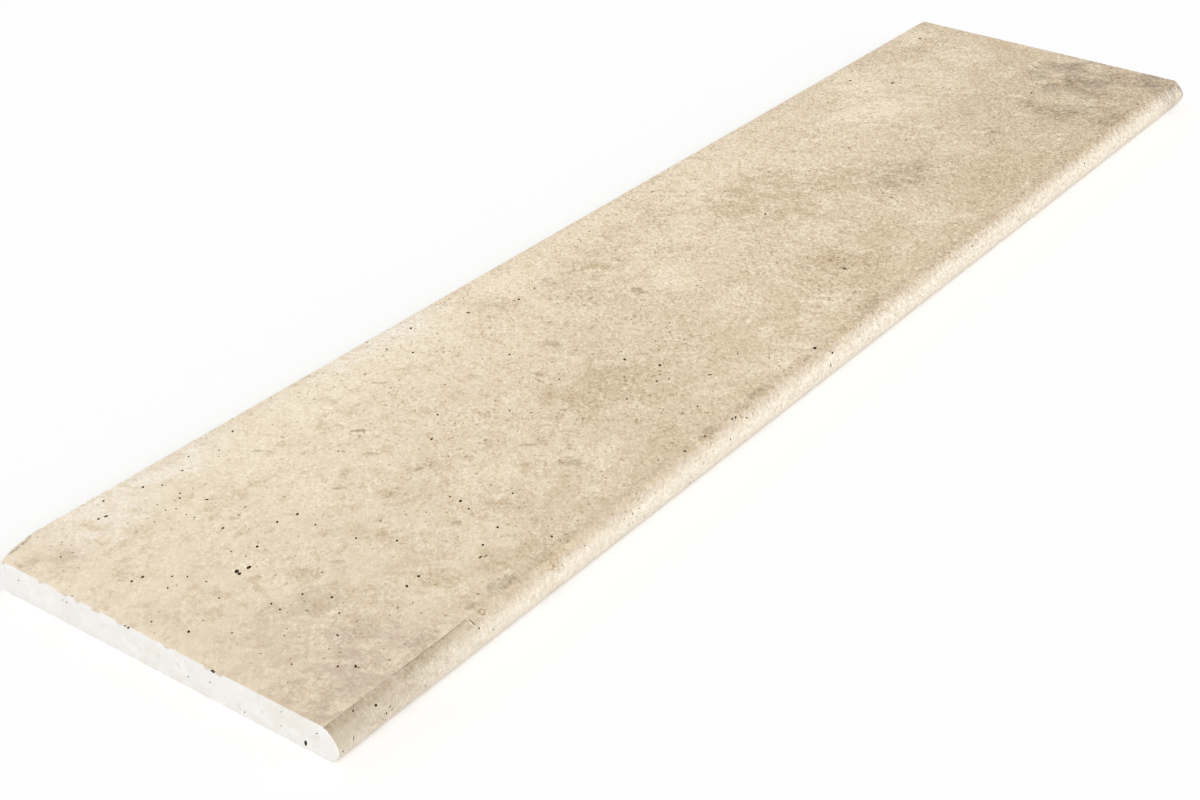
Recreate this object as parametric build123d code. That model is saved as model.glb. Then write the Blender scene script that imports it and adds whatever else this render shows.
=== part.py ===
"""A travertine stair tread: one flat sawn slab of stone with its front long edge ground to a nose.

Millimetres. X runs along the tread, -Y is the front edge with the nose, +Y is the back edge that
meets the riser, and +Z is up. The origin is on the underside, at the middle of the bounding box.
"""

from build123d import *
from math import cos, radians, sin
import os

# The slab
tread_length = 1200.0
tread_depth = 280.0  # from the back edge to the tip of the nose
slab_thickness = 21.5

# The nose, ground with a cutter that runs a little low, so that a crease is left on the top face
nose_reach = 10.4  # how far the tip stands out past the crease
nose_tip_drop = 13.2  # from the top face down to the tip, the point that stands out furthest
nose_tip_radius = 8.3  # of the arc above the tip
nose_tip_wrap = 30.0  # degrees of that arc, before the flatter arc that climbs to the crease

# The sawn edges, eased by hand with a rubbing block
arris_ease = 0.8

# The corner that is broken off, at the back of the left end, through the whole thickness
break_along_back = 34.0
break_along_end = 9.2
break_bulge = 1.0  # how far the broken face bows out from a straight line


def nose_section():
    """The outline of the slab across its length, in the plane of its left end."""
    back = tread_depth / 2
    tip = -tread_depth / 2
    tip_height = slab_thickness - nose_tip_drop

    wrap = radians(nose_tip_wrap)
    tip_point = (tip, tip_height)
    wrapped_point = (
        tip + nose_tip_radius * (1 - cos(wrap)),
        tip_height + nose_tip_radius * sin(wrap),
    )
    wrapped_direction = (sin(wrap), cos(wrap))
    crease = (tip + nose_reach, slab_thickness)
    underside_point = (tip + tip_height, 0)

    with BuildSketch(Plane.YZ.offset(-tread_length / 2)) as section:
        with BuildLine():
            Line(underside_point, (back, 0))
            Line((back, 0), (back, slab_thickness))
            Line((back, slab_thickness), crease)
            TangentArc(wrapped_point, crease, tangent=wrapped_direction)
            TangentArc(tip_point, wrapped_point, tangent=(0, 1))
            TangentArc(tip_point, underside_point, tangent=(0, -1))
        make_face()
    return section.sketch


def broken_corner():
    """The piece of stone that is missing from the back of the left end."""
    end = -tread_length / 2
    back = tread_depth / 2
    on_back = Vector(end + break_along_back, back)
    on_end = Vector(end, back - break_along_end)
    outward = Vector(-break_along_end, break_along_back).normalized()
    middle = (on_back + on_end) * 0.5 + outward * break_bulge

    with BuildSketch(Plane.XY) as outline:
        with BuildLine():
            Line((end, back), on_back)
            ThreePointArc(on_back, middle, on_end)
            Line(on_end, (end, back))
        make_face()
    return extrude(outline.sketch, slab_thickness)


def tread_slab():
    """The whole tread as one piece of stone."""
    slab = extrude(nose_section(), tread_length, dir=(1, 0, 0))
    end_faces = slab.faces().sort_by(Axis.X)
    back_face = slab.faces().sort_by(Axis.Y)[-1]
    sawn_edges = end_faces[0].edges() + end_faces[-1].edges()
    sawn_edges += back_face.edges().filter_by(Axis.X)
    slab = chamfer(sawn_edges, arris_ease)
    return slab - broken_corner()


os.makedirs("parts", exist_ok=True)
tread = tread_slab()
tread.label = "tread_slab"
export_step(tread, "parts/tread_slab.step")
print("tread_slab", tread.bounding_box().size, "volume", round(tread.volume))
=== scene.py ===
"""The looks of a travertine stair tread: a sawn slab with a ground nose, open pits and worn arrises.

Metres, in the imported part's own frame: X runs along the tread, -Y is the front with the nose, +Y
is the back edge, and +Z is up. The left end, at -X, is the one nearest the camera.
"""

import logging
import random
from collections.abc import Callable, Iterator, Mapping, Sequence
from contextlib import contextmanager
from dataclasses import dataclass, field
from enum import Enum, IntEnum
from functools import cached_property
from math import asin, atan2, cos, pi, radians, sin, sqrt

import bmesh
import bpy
from mathutils import Matrix, Quaternion, Vector


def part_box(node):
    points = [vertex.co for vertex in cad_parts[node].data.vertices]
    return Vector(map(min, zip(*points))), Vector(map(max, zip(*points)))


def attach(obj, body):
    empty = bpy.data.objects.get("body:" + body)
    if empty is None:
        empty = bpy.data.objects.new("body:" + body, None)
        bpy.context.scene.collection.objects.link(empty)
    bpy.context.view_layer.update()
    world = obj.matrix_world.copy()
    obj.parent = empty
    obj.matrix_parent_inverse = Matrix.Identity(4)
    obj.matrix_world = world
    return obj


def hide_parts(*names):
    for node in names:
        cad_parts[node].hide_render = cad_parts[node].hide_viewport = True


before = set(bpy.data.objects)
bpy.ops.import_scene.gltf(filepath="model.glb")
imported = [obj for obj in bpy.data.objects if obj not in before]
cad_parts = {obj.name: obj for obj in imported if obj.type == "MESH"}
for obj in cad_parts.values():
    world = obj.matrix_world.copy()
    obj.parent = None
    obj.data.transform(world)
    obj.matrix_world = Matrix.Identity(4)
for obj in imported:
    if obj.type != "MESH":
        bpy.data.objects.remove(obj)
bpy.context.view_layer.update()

MM = 0.001
CLOSE = 0.1 * MM  # two places that are nearer than this count as one
LUMP_REACH = 0.6  # how far a lump reaches from its middle, as a share of its longest side
CALCITE_IOR = 1.49
log = logging.getLogger("tread")

Output = bpy.types.NodeSocket
Colour = tuple[float, float, float, float]


class Part(Enum):
    """The kinds of mesh element that can be picked, with Blender's two names for each."""

    VERTEX = ("VERT", "verts")
    EDGE = ("EDGE", "edges")
    FACE = ("FACE", "faces")


class Axis(IntEnum):
    """The axes, numbered as the coordinates of a point are."""

    X = 0
    Y = 1
    Z = 2


class Finish(Enum):
    """The finishes of the stone, numbered in the order of the slab's material slots."""

    HONED = 0
    CROSS_CUT = 1
    SAWN = 2
    # the dark lining of the pits, the dark chips and the ledge: partly grime and stain, partly
    # painted shade in the hollows
    LINING = 3
    BROKEN = 4


class Side(Enum):
    """The sides of the slab, each with its outward normal."""

    TOP = (0, 0, 1)
    UNDERSIDE = (0, 0, -1)
    NOSE = (0, -1, 0)
    BACK = (0, 1, 0)
    LEFT_END = (-1, 0, 0)
    RIGHT_END = (1, 0, 0)


class Shade(Enum):
    """The clouds of colour in the stone, as sRGB hex values."""

    WHITE = "F8EEDD"
    PALE = "F3E4C9"
    ROSE = "D0BBA5"
    TAN = "C6AE89"
    BROWN = "99825F"
    GREY = "A3947E"
    MAUVE = "BFAE98"
    UMBER = "8E7A66"


def linear(colour: str) -> Colour:
    """Turns an sRGB hex colour into the linear colour that a shader takes.

    Args:
        colour: six hex digits.

    Returns:
        Red, green, blue and an alpha of 1.
    """
    channels = [int(colour[start:start + 2], 16) / 255 for start in (0, 2, 4)]
    bent = [
        value / 12.92 if value <= 0.04045 else ((value + 0.055) / 1.055) ** 2.4
        for value in channels
    ]
    return (*bent, 1.0)


def add_node(
    tree: bpy.types.NodeTree,
    kind: str,
    inputs: Mapping[str | int, object] | None = None,
    **settings: object,
) -> bpy.types.Node:
    """Adds one node, with its settings, values and links.

    Args:
        tree: the tree that the node goes in.
        kind: Blender's name for the node.
        inputs: for each input, the value that it is set to or the output that feeds it.
        settings: the node's own properties.

    Returns:
        The node.
    """
    node = tree.nodes.new(kind)
    for name, value in settings.items():
        setattr(node, name, value)
    for name, value in (inputs or {}).items():
        if isinstance(value, bpy.types.NodeSocket):
            tree.links.new(value, node.inputs[name])
        else:
            node.inputs[name].default_value = value
    return node


def choose(piece: bpy.types.Object) -> None:
    """Makes a piece the only one that is selected, and the active one."""
    bpy.ops.object.select_all(action="DESELECT")
    piece.select_set(True)
    bpy.context.view_layer.objects.active = piece


@contextmanager
def editing(piece: bpy.types.Object) -> Iterator[None]:
    """Keeps a piece in edit mode for as long as its block runs."""
    choose(piece)
    bpy.ops.object.mode_set(mode="EDIT")
    yield
    bpy.ops.object.mode_set(mode="OBJECT")


def pick(piece: bpy.types.Object, part: Part, test: Callable[..., bool]) -> None:
    """Selects the elements of a piece that pass a test, in edit mode, and nothing else.

    Args:
        piece: the piece that is being edited.
        part: the kind of element that is tested.
        test: takes one element and says whether it is wanted.
    """
    mode, plural = part.value
    bpy.ops.mesh.select_mode(type=mode)
    bpy.ops.mesh.select_all(action="DESELECT")
    mesh = bmesh.from_edit_mesh(piece.data)
    for element in getattr(mesh, plural):
        if test(element):
            element.select_set(True)
    mesh.select_flush_mode()
    bmesh.update_edit_mesh(piece.data)


def span(edge: bmesh.types.BMEdge) -> Vector:
    """How far an edge reaches along each axis."""
    reach = edge.verts[1].co - edge.verts[0].co
    return Vector(abs(value) for value in reach)


def middle(edge: bmesh.types.BMEdge) -> Vector:
    """The middle of an edge."""
    return (edge.verts[0].co + edge.verts[1].co) / 2


def set_finish(piece: bpy.types.Object, finish: Finish) -> None:
    """Gives every face of a piece one finish."""
    for face in piece.data.polygons:
        face.material_index = finish.value


def uneven_ball(roughness: float, seed: int) -> bpy.types.Object:
    """Models a pattern for lumps: an uneven ball, a metre across.

    Args:
        roughness: how far a point of the ball may be moved.
        seed: what the moves start from.

    Returns:
        The ball, which stays in the scene until it is removed.
    """
    bpy.ops.mesh.primitive_ico_sphere_add(subdivisions=2, radius=0.5, location=(0, 0, 0))
    ball = bpy.context.object
    with editing(ball):
        bpy.ops.mesh.select_all(action="SELECT")
        bpy.ops.transform.vertex_random(offset=roughness, seed=seed)
    return ball


@dataclass
class Lump:
    """A lump of missing stone: its pattern, its place and size, and how far it reaches."""

    pattern: bpy.types.Object
    place: Matrix
    reach: float

    def touches(self, other: "Lump") -> bool:
        """Says whether two lumps may overlap."""
        apart = (self.place.translation - other.place.translation).length
        return apart < self.reach + other.reach

    def copy(self) -> bpy.types.Object:
        """Copies the pattern with a mesh of its own, and puts the place into that mesh.

        Returns:
            The copy.
        """
        copy = self.pattern.copy()
        copy.data = self.pattern.data.copy()
        copy.data.transform(self.place)
        bpy.context.collection.objects.link(copy)
        return copy


def join_lumps(lumps: Sequence[Lump], finish: Finish) -> list[bpy.types.Object]:
    """Joins lumps into as few cutters as they make when no two in a cutter touch.

    Args:
        lumps: the lumps.
        finish: the finish of the stone where they were.

    Returns:
        The cutters.
    """
    layers: list[list[Lump]] = []
    for lump in lumps:
        for layer in layers:
            if not any(lump.touches(other) for other in layer):
                layer.append(lump)
                break
        else:
            layers.append([lump])
    cutters = []
    for layer in layers:
        copies = [lump.copy() for lump in layer]
        choose(copies[0])
        for copy in copies:
            copy.select_set(True)
        if len(copies) > 1:
            bpy.ops.object.join()
        set_finish(copies[0], finish)
        cutters.append(copies[0])
    return cutters


@dataclass
class Slab:
    """The sawn slab with its nose, before anything has worn or broken it."""

    low: Vector
    high: Vector
    nose_reach: float = 10.4 * MM
    nose_radius: float = 8.3 * MM
    nose_wrap: float = radians(120)
    arris_ease: float = 0.8 * MM
    cell: float = 12 * MM
    nose_steps: int = 12
    shoulder_steps: int = 6
    sharp_crease: float = 122 * MM
    crease_ease: float = 1.9 * MM
    weld: float = 0.01 * MM

    @property
    def crease(self) -> float:
        """The place of the crease, where the nose leaves the top face."""
        return self.low.y + self.nose_reach

    @property
    def round_centre(self) -> Vector:
        """The centre of the round of the nose."""
        return Vector((0, self.low.y + self.nose_radius, self.low.z + self.nose_radius))

    @property
    def shoulder_slope(self) -> float:
        """How steeply the shoulder falls away from the crease, as an angle down from level."""
        return pi - self.nose_wrap - self.shoulder()[2]

    def shoulder(self) -> tuple[Vector, float, float]:
        """Works out the flatter arc between the round of the nose and the crease.

        Returns:
            The centre of the arc, its radius, and the angle that it turns through.
        """
        inward = Vector((0, sin(self.nose_wrap), cos(self.nose_wrap)))
        start = self.round_centre - inward * self.nose_radius
        chord = Vector((0, self.crease, self.high.z)) - start
        radius = chord.length_squared / (2 * chord.dot(inward))
        return start + inward * radius, radius, 2 * asin(chord.length / (2 * radius))

    def on_nose(self, from_left: float, drop: float) -> tuple[Vector, Vector]:
        """Finds a point on the nose.

        Args:
            from_left: how far along the tread it is.
            drop: how far below the top face it is.

        Returns:
            The point and the outward normal there.
        """
        height = self.high.z - drop
        centre, radius, _ = self.shoulder()
        if height < self.round_centre.z - self.nose_radius * cos(self.nose_wrap):
            centre, radius = self.round_centre, self.nose_radius
        out = sqrt(max(radius**2 - (height - centre.z) ** 2, 0))
        point = Vector((self.low.x + from_left, centre.y - out, height))
        return point, Vector((0, -out, height - centre.z)).normalized()

    def build(self) -> bpy.types.Object:
        """Models the slab.

        Returns:
            The slab, whose ends and back have eased arrises.
        """
        slab = self._flat_part()
        with editing(slab):
            self._draw_nose(slab)
            self._close_ends(slab)
            self._ease_arrises(slab)
            self._divide(slab)
            self._soften_crease(slab)
        self._set_finishes(slab)
        return slab

    def _flat_part(self) -> bpy.types.Object:
        """Adds the flat part of the slab, from the crease to the back edge.

        Returns:
            The flat part.
        """
        low = Vector((self.low.x, self.crease, self.low.z))
        bpy.ops.mesh.primitive_cube_add(
            size=1, location=(low + self.high) / 2, scale=self.high - low
        )
        bpy.ops.object.transform_apply(location=True, rotation=True, scale=True)
        slab = bpy.context.object
        slab.name = "tread_stone"
        return slab

    def _draw_nose(self, slab: bpy.types.Object) -> None:
        """Turns the underside's front edge up round the nose, as far as the crease.

        Args:
            slab: the slab, in edit mode.
        """
        shoulder_centre, _, shoulder_turn = self.shoulder()
        pick(slab, Part.FACE, lambda face: face.normal.y < -0.5 or abs(face.normal.x) > 0.5)
        bpy.ops.mesh.delete(type="FACE")
        pick(
            slab,
            Part.EDGE,
            lambda edge: all(vertex.co.y < 0 and vertex.co.z < CLOSE for vertex in edge.verts),
        )
        bpy.ops.transform.translate(value=(0, self.nose_radius - self.nose_reach, 0))
        bpy.ops.mesh.spin(
            steps=self.nose_steps, angle=self.nose_wrap, center=self.round_centre, axis=(1, 0, 0)
        )
        bpy.ops.mesh.spin(
            steps=self.shoulder_steps,
            angle=shoulder_turn,
            center=shoulder_centre,
            axis=(1, 0, 0),
        )
        bpy.ops.mesh.select_all(action="SELECT")
        bpy.ops.mesh.remove_doubles(threshold=self.weld)

    def _close_ends(self, slab: bpy.types.Object) -> None:
        """Fills the two sawn ends.

        Args:
            slab: the slab, in edit mode.
        """
        for end in (self.low.x, self.high.x):
            pick(
                slab,
                Part.EDGE,
                lambda edge: edge.is_boundary and abs(middle(edge).x - end) < CLOSE,
            )
            bpy.ops.mesh.edge_face_add()
        bpy.ops.mesh.select_all(action="SELECT")
        bpy.ops.mesh.normals_make_consistent(inside=False)

    def _ease_arrises(self, slab: bpy.types.Object) -> None:
        """Rounds the sawn edges a little, round both ends and along the back.

        Args:
            slab: the slab, in edit mode.
        """

        def is_sawn(edge: bmesh.types.BMEdge) -> bool:
            """Says whether an edge lies round an end or along the back."""
            return span(edge).x < CLOSE or middle(edge).y > self.high.y - CLOSE

        pick(slab, Part.EDGE, is_sawn)
        bpy.ops.mesh.bevel(offset=self.arris_ease, segments=2, profile=0.5, affect="EDGES")

    def _divide(self, slab: bpy.types.Object) -> None:
        """Divides the long faces into cells, so that the slab can bear local work.

        The steps of the nose and of the eases are short, and stay as they are.

        Args:
            slab: the slab, in edit mode.
        """
        size = self.high - self.low
        flat_lengths = {Axis.X: size.x, Axis.Y: size.y - self.nose_reach, Axis.Z: size.z}
        for axis, length in flat_lengths.items():
            least = min(self.cell * 2, length * 0.7)
            pick(slab, Part.EDGE, lambda edge: span(edge)[axis] > least)
            bpy.ops.mesh.subdivide(number_cuts=round(length / self.cell))

    def _soften_crease(self, slab: bpy.types.Object) -> None:
        """Rounds the crease, except near the left end, where it is still sharp.

        Args:
            slab: the slab, in edit mode.
        """
        start = self.low.x + self.sharp_crease

        def is_soft(edge: bmesh.types.BMEdge) -> bool:
            """Says whether an edge is a part of the crease that is worn."""
            place = middle(edge)
            on_crease = abs(place.y - self.crease) < CLOSE and place.z > self.high.z - CLOSE
            return on_crease and start < place.x < self.high.x - self.cell

        pick(slab, Part.EDGE, is_soft)
        bpy.ops.mesh.bevel(offset=self.crease_ease, segments=3, profile=0.5, affect="EDGES")

    def _set_finishes(self, slab: bpy.types.Object) -> None:
        """Sorts the faces into the walked-on ones, the two ends, and the rest.

        Args:
            slab: the slab.
        """
        # how much of a face's normal points along X at an end, and straight up or down
        endward, upright = 0.3, 0.8
        for face in slab.data.polygons:
            on_nose = face.center.y < self.crease and face.normal.z > -upright
            finish = Finish.SAWN
            if abs(face.normal.x) > endward:
                finish = Finish.CROSS_CUT
            elif face.normal.z > upright or on_nose:
                finish = Finish.HONED
            face.material_index = finish.value


@dataclass
class Ledge:
    """The step that the nose cutter left under the sharp crease, where it ran too deep."""

    slab: Slab
    shallow: float = 0.1 * MM
    deep: float = 0.55 * MM
    reach: float = 8 * MM
    overhang: float = 5 * MM
    inset: float = 0.08 * MM

    def build(self) -> list[bpy.types.Object]:
        """Models the wedge of stone that the cutter took.

        Returns:
            The wedge, whose upright face has the pits' dark lining as painted shade under the lip,
            and whose floor is honed.
        """
        length = self.slab.sharp_crease + self.overhang
        bpy.ops.mesh.primitive_cube_add(
            size=1,
            location=(length / 2 - self.overhang, -self.reach / 2, self.reach / 2),
            scale=(length, self.reach, self.reach),
        )
        bpy.ops.object.transform_apply(location=True, rotation=True, scale=True)
        wedge = bpy.context.object
        for face in wedge.data.polygons:
            # the upright face lies in the recess under the lip, and its dark lining is painted shade
            is_upright = face.normal.y > 0.5
            face.material_index = (Finish.LINING if is_upright else Finish.HONED).value
        tilt = Quaternion((1, 0, 0), self.slab.shoulder_slope)
        slope = atan2(self.deep - self.shallow, self.slab.sharp_crease)
        fall = Quaternion((0, 1, 0), slope)
        left_crease = Vector(
            (self.slab.low.x, self.slab.crease + self.inset, self.slab.high.z - self.shallow)
        )
        wedge.data.transform(Matrix.LocRotScale(left_crease, fall @ tilt, None))
        return [wedge]


@dataclass
class BrokenCorner:
    """The corner that is broken off, at the back of the left end."""

    slab: Slab
    along_back: float = 34 * MM
    along_end: float = 9.2 * MM
    bulge: float = 1.0 * MM
    roughness: float = 0.7 * MM
    smoothing: float = 0.4
    overhang: float = 12 * MM
    columns: int = 30
    rows: int = 22
    seed: int = 4

    def build(self) -> list[bpy.types.Object]:
        """Models the lump of stone that is missing.

        Returns:
            The lump, whose inner face is rough.
        """
        on_back = Vector((self.slab.low.x + self.along_back, self.slab.high.y, 0))
        on_end = Vector((self.slab.low.x, self.slab.high.y - self.along_end, 0))
        across = on_back - on_end
        outward = Vector((-across.y, across.x, 0)).normalized()
        height = self.slab.high.z - self.slab.low.z
        bpy.ops.mesh.primitive_grid_add(
            x_subdivisions=self.columns,
            y_subdivisions=self.rows,
            size=1,
            location=(0, 0, 0),
        )
        lump = bpy.context.object
        wide = across.length + 2 * self.overhang
        crown = across.length / 12
        lump.data.transform(Matrix.Diagonal((wide, height + self.overhang, 1, 1)))
        with editing(lump):
            bpy.ops.mesh.select_all(action="SELECT")
            bpy.ops.transform.vertex_random(offset=self.roughness, seed=self.seed)
            bpy.ops.mesh.vertices_smooth(factor=self.smoothing, repeat=1)
            pick(lump, Part.VERTEX, lambda vertex: abs(vertex.co.x) < crown)
            bpy.ops.transform.translate(
                value=(0, 0, self.bulge),
                use_proportional_edit=True,
                proportional_edit_falloff="SMOOTH",
                proportional_size=across.length / 2,
            )
            bpy.ops.mesh.select_all(action="SELECT")
            bpy.ops.mesh.extrude_region_move(
                TRANSFORM_OT_translate={"value": (0, 0, self.overhang * 2)}
            )
            bpy.ops.mesh.select_all(action="SELECT")
            bpy.ops.mesh.normals_make_consistent(inside=False)
        axes = Matrix((-across.normalized(), (0, 0, 1), outward)).transposed()
        centre = (on_back + on_end) / 2 + Vector((0, 0, (self.slab.low.z + self.slab.high.z) / 2))
        lump.data.transform(Matrix.Translation(centre) @ axes.to_4x4())
        set_finish(lump, Finish.BROKEN)
        return [lump]


@dataclass(frozen=True)
class Pit:
    """An open pit that can be made out, with its place and its size in millimetres.

    Along is its distance from the left end, or from the back edge for a pit in that end. Aside
    is its distance from the back edge, or below the top face for a pit in the nose or the end.
    """

    along: float
    aside: float
    across: float
    stretch: float = 1.5
    turn: float = 40


SEEN_PITS: Mapping[Side, Sequence[Pit]] = {
    Side.TOP: (
        Pit(77.6, 129.6, 2.9, 1.5, 40),
        Pit(76.8, 132.6, 2.4, 1.4, 30),
        Pit(85, 132.5, 2.7, 1.5, 10),
        Pit(109, 16, 1.7),
        Pit(118, 24, 1.3),
        Pit(83, 8, 1.5, 1.8, 20),
        Pit(67, 21, 1.7),
        Pit(118, 40, 1.3),
        Pit(114, 44, 1.5),
        Pit(123, 59, 1.8, 1.5, -40),
        Pit(99, 47, 1.0),
        Pit(104, 51, 1.1),
        Pit(103, 61, 1.0),
        Pit(106, 90, 1.7, 1.6, 20),
        Pit(143, 133, 1.4),
        Pit(147, 163, 1.5),
        Pit(145, 116, 2.0, 1.5, 20),
        Pit(131, 112, 1.7),
        Pit(160, 185, 1.6, 1.8, 20),
        Pit(104, 121, 1.9),
        Pit(25, 34, 1.2),
        Pit(56, 110, 1.2),
        Pit(40, 89, 1.9, 1.4, 20),
        Pit(33, 87, 1.6),
        Pit(41, 109, 1.3),
        Pit(84, 177, 1.5),
        Pit(92, 193, 1.7),
        Pit(66, 169, 1.5),
        Pit(83, 207, 1.3),
        Pit(12, 126, 1.2),
        Pit(18, 150, 1.9),
        Pit(31, 218, 1.2),
        Pit(45, 240, 1.4),
        Pit(51, 248, 1.5, 2.4, 45),
        Pit(218, 188, 2.2, 1.5, 20),
        Pit(214, 198, 1.5),
        Pit(245, 209, 1.6),
        Pit(127, 221, 1.9),
        Pit(188, 230, 1.7),
        Pit(265, 125, 1.9, 1.5, 20),
        Pit(292, 108, 1.6),
        Pit(341, 20, 1.7),
        Pit(376, 13, 2.0, 1.5, 20),
        Pit(388, 95, 1.8, 1.3, 20),
        Pit(432, 165, 2.3),
        Pit(440, 190, 2.4, 1.4, 20),
        Pit(420, 201, 1.5, 2.0, 40),
        Pit(408, 243, 1.5, 1.5, 40),
        Pit(394, 240, 1.2),
        Pit(428, 206, 1.4),
        Pit(488, 225, 1.5),
        Pit(460, 48, 2.0),
        Pit(482, 46, 1.8),
        Pit(529, 265, 3.0, 1.4, 20),
        Pit(655, 218, 2.6, 1.2, 20),
        Pit(703, 116, 2.2, 1.4, 20),
        Pit(1027, 58, 2.6, 1.6, 20),
        Pit(1008, 23, 2.6, 1.3, 20),
        Pit(1085, 174, 2.4, 1.4, 20),
        Pit(1152, 21, 2.6, 1.6, 20),
        Pit(354, 268.5, 1.6, 1.8, -20),
        Pit(378, 268.5, 1.5, 1.6, 10),
    ),
    Side.NOSE: (
        Pit(22, 1.4, 1.0, 1.8, 30),
        Pit(44, 9.4, 0.9, 1.6, 40),
        Pit(44.5, 11.4, 0.8),
        Pit(40, 11, 0.9, 1.5, 70),
        Pit(13, 11, 0.6, 6.0, 70),
        Pit(124.5, 2.2, 0.7, 8.0, 96),
        Pit(126, 5.6, 1.1),
        Pit(135, 10.7, 0.9),
        Pit(409, 0.6, 1.4, 1.8, 20),
        Pit(412.5, 0.9, 1.4, 2.0, 20),
        Pit(421, 4, 1.3, 1.7, 120),
        Pit(396, 7.8, 0.9, 2.6, 80),
        Pit(529, 9.6, 1.2, 2.4, 70),
        Pit(583, 2.1, 1.1),
    ),
    Side.LEFT_END: (
        Pit(24, 7.4, 0.9, 1.6, 30),
        Pit(63, 5, 0.8),
        Pit(66.5, 5.3, 0.9),
        Pit(184, 9.4, 0.8, 1.8, 80),
        Pit(210, 18, 0.9),
        Pit(239, 3.8, 0.8),
        Pit(238, 14, 0.7),
        Pit(265, 6, 0.8, 2.2, 10),
        Pit(256, 17.2, 2.3, 1.8, 80),
    ),
}


@dataclass
class Pits:
    """The open pits of the stone, on every side of the slab.

    A pit is longest along the bedding, which runs askew. The saw tears pits wider than the
    honing leaves them, and more of them are open near the left end.
    """

    slab: Slab
    counts: Mapping[Side, int] = field(
        default_factory=lambda: {
            Side.TOP: 230,
            Side.NOSE: 44,
            Side.UNDERSIDE: 130,
            Side.BACK: 36,
            Side.LEFT_END: 2,
            Side.RIGHT_END: 12,
        }
    )
    smallest: float = 0.5 * MM
    usual: float = 0.8 * MM
    largest: float = 4.5 * MM
    spread: float = 0.4
    sawn_widening: float = 1.8
    stretches: tuple[float, float] = (1.0, 1.9)
    depths: tuple[float, float] = (1.3, 2.2)
    sunk: float = 0.12
    bedding: float = 40
    bedding_spread: float = 35
    near_share: float = 0.45
    near_length: float = 0.45
    margin: float = 2.5 * MM
    patterns: int = 6
    roughness: float = 0.07
    seed: int = 11

    def __post_init__(self) -> None:
        """Starts the run of chance, with no pattern made yet."""
        self.chance = random.Random(self.seed)
        self.balls: list[bpy.types.Object] = []

    def build(self) -> list[bpy.types.Object]:
        """Models what is missing from the pits.

        Returns:
            The cutters, with the finish of the pits' lining.
        """
        self.balls = [uneven_ball(self.roughness, 1 + number) for number in range(self.patterns)]
        lumps = [self._seen(side, pit) for side, pits in SEEN_PITS.items() for pit in pits]
        for side, count in self.counts.items():
            lumps += [self._scattered(side) for _ in range(count)]
        cutters = join_lumps(lumps, Finish.LINING)
        for ball in self.balls:
            bpy.data.objects.remove(ball)
        return cutters

    def _lump(
        self, point: Vector, normal: Vector, across: float, stretch: float, turn: float
    ) -> Lump:
        """Works out what is missing from one pit.

        Args:
            point: the middle of the pit's mouth.
            normal: the outward normal of the face.
            across: how wide the mouth is.
            stretch: how many times longer than wide the mouth is.
            turn: how far the mouth's length is turned, in radians.

        Returns:
            The lump, most of which is under the face.
        """
        depth = across * self.chance.uniform(*self.depths)
        facing = normal.to_track_quat("Z", "Y") @ Quaternion((0, 0, 1), turn)
        size = Vector((across * stretch, across, depth))
        place = Matrix.LocRotScale(point - normal * depth * self.sunk, facing, size)
        return Lump(self.chance.choice(self.balls), place, max(size) * LUMP_REACH)

    def _seen(self, side: Side, pit: Pit) -> Lump:
        """Places a pit that can be made out.

        Args:
            side: the side of the slab that it is in.
            pit: the pit.

        Returns:
            The lump that is missing from it.
        """
        low, high = self.slab.low, self.slab.high
        along, aside = pit.along * MM, pit.aside * MM
        point, normal = Vector((low.x + along, high.y - aside, high.z)), Vector(side.value)
        if side is Side.NOSE:
            point, normal = self.slab.on_nose(along, aside)
        elif side is Side.LEFT_END:
            point = Vector((low.x, high.y - along, high.z - aside))
        return self._lump(point, normal, pit.across * MM, pit.stretch, radians(pit.turn))

    def _scattered(self, side: Side) -> Lump:
        """Places a pit by chance.

        Args:
            side: the side of the slab that it is in.

        Returns:
            The lump that is missing from it.
        """
        across = self.usual * self.chance.lognormvariate(0, self.spread)
        if side in (Side.UNDERSIDE, Side.BACK):
            across *= self.sawn_widening
        across = min(max(across, self.smallest), self.largest)
        stretch = self.chance.uniform(*self.stretches)
        turn = radians(self.chance.gauss(self.bedding, self.bedding_spread))
        point, normal = self._point_on(side)
        return self._lump(point, normal, across, stretch, turn)

    def _point_on(self, side: Side) -> tuple[Vector, Vector]:
        """Chooses a point by chance on one side of the slab.

        Args:
            side: the side of the slab.

        Returns:
            The point and the outward normal there.
        """
        low, high = self.slab.low, self.slab.high
        inset = Vector((self.margin, self.margin, self.margin))
        least, most = low + inset, high - inset
        least.y = self.slab.crease + self.margin
        point = Vector(self.chance.uniform(start, end) for start, end in zip(least, most))
        if side is Side.TOP and self.chance.random() < self.near_share:
            near = least.x + (most.x - least.x) * self.near_length
            point.x = self.chance.uniform(least.x, near)
        if side is Side.NOSE:
            return self.slab.on_nose(point.x - low.x, high.z - point.z)
        normal = Vector(side.value)
        for axis in Axis:
            if normal[axis] > 0:
                point[axis] = high[axis]
            elif normal[axis] < 0:
                point[axis] = low[axis]
        return point, normal


@dataclass(frozen=True)
class Chip:
    """A chip on a sawn arris, in millimetres.

    Place is its distance from the left end, or from the back edge for a chip on an end. It runs
    long along the arris and deep into the stone.
    """

    side: Side
    place: float
    long: float
    deep: float
    at_top: bool = True


# these chips take the pits' dark lining: partly grime, partly painted shade in the notch
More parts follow.
